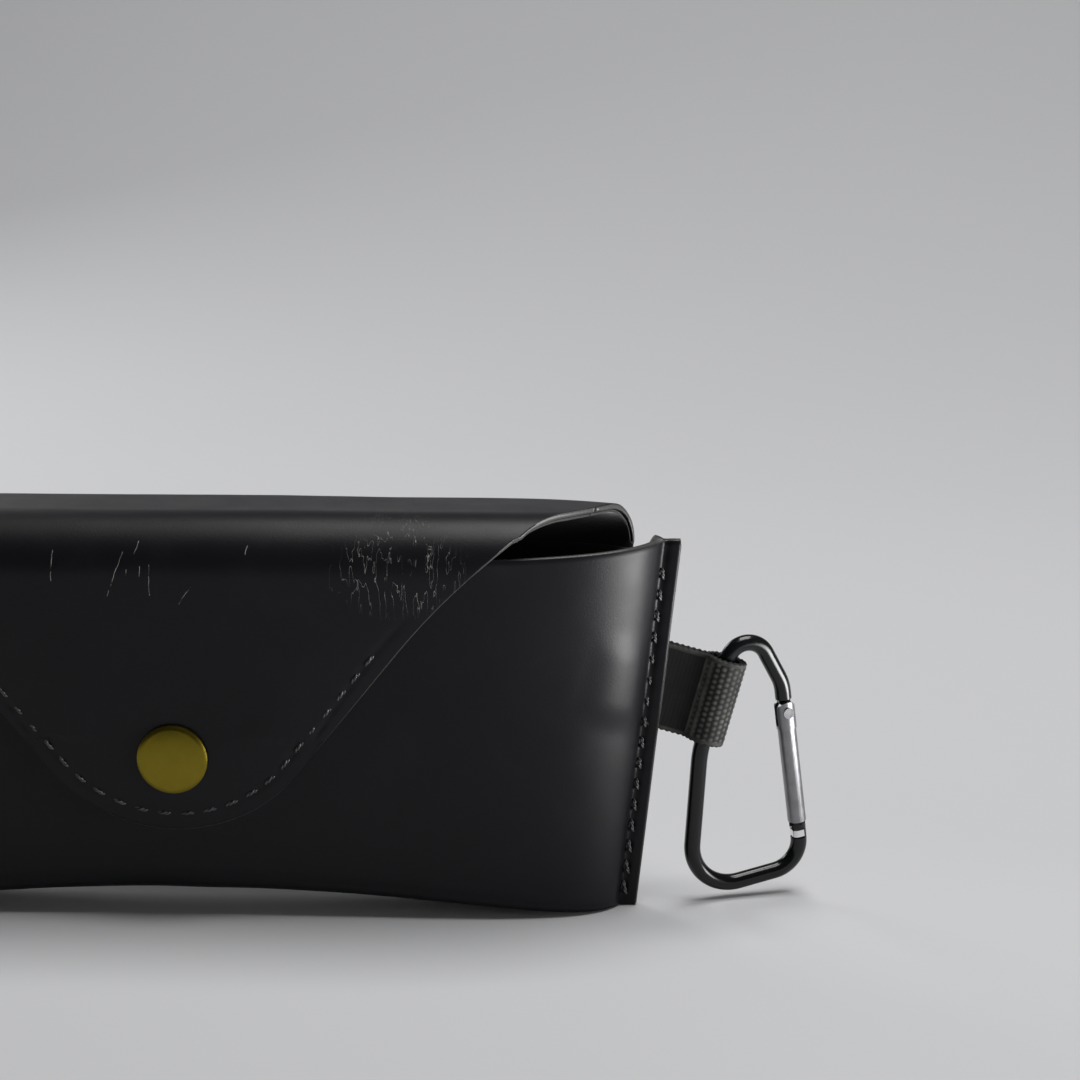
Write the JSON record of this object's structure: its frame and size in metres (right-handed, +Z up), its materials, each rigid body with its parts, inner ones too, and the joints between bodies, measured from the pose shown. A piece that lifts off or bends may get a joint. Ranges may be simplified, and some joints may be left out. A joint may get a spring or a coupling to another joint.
{
  "type": "eyeglasses case",
  "caption": "Soft leather eyeglasses pouch with a pointed snap flap, stitched sides and a webbing side tab carrying a small carabiner.",
  "frame": {"origin": "centre of the whole object's outline, on the surface it stands on", "axes": "+X along the case to the tab and carabiner, +Y from the flap's snap to the back panel, +Z up"},
  "size_m": [0.2042, 0.0325, 0.0745],
  "materials": {
    "leather": "smooth matte black coated leather",
    "lining": "brushed black microfibre",
    "thread": "black waxed polyester thread",
    "webbing": "woven black webbing",
    "brass": "satin antique brass",
    "snap_steel": "plated spring steel",
    "anodised_black": "satin black anodised",
    "bare_aluminium": "tumbled bare aluminium",
    "latch_steel": "bright steel"
  },
  "bodies": {
    "pouch": {"pouch_shell": "leather", "pouch_lining": "lining", "seam_thread_left": "thread", "seam_thread_right": "thread", "snap_stud": "snap_steel", "snap_post": "brass", "tab_anchor": "webbing"},
    "bridge": {"flap_bridge": "leather", "flap_bridge_lining": "lining"},
    "flap": {"flap_front": "leather", "flap_front_lining": "lining", "flap_thread": "thread", "snap_cap": "brass", "snap_socket": "snap_steel", "snap_spring": "snap_steel"},
    "tab": {"tab_loop": "webbing"},
    "carabiner": {"carabiner_body": "anodised_black", "gate_rivet": "bare_aluminium"},
    "gate": {"gate_tube": "bare_aluminium", "gate_latch": "latch_steel", "gate_plunger": "latch_steel", "gate_spring": "latch_steel"}
  },
  "joints": [
    {"name": "flap_back_fold", "type": "hinge", "parent": "pouch", "child": "bridge", "pos_m": [0, 0.01626, 0.06565], "axis": [-1, 0, 0], "range_deg": [0, 99]},
    {"name": "flap_front_fold", "type": "hinge", "parent": "bridge", "child": "flap", "pos_m": [0, -0.01345, 0.07147], "axis": [-1, 0, 0], "range_deg": [0, 165]},
    {"name": "tab_bend", "type": "hinge", "parent": "pouch", "child": "tab", "pos_m": [0.07904, 0.00176, 0.041], "axis": [0.2672, 0, 0.9636], "range_deg": [-45, 45]},
    {"name": "carabiner_swing", "type": "hinge", "parent": "tab", "child": "carabiner", "pos_m": [0.08482, 0.00176, 0.03939], "axis": [0.2672, 0, 0.9636], "range_deg": [-85, 50]},
    {"name": "gate_pivot", "type": "hinge", "parent": "carabiner", "child": "gate", "pos_m": [0.09743, 0.00654, 0.0357], "axis": [-0.3296, 0.9397, 0.0914], "range_deg": [0, 28], "stiffness_Nm_per_rad": 0.02, "springref_deg": -17.19}
  ],
  "couplings": [
    {"joint": "flap_back_fold", "follows": "flap_front_fold", "ratio": 0.6}
  ]
}
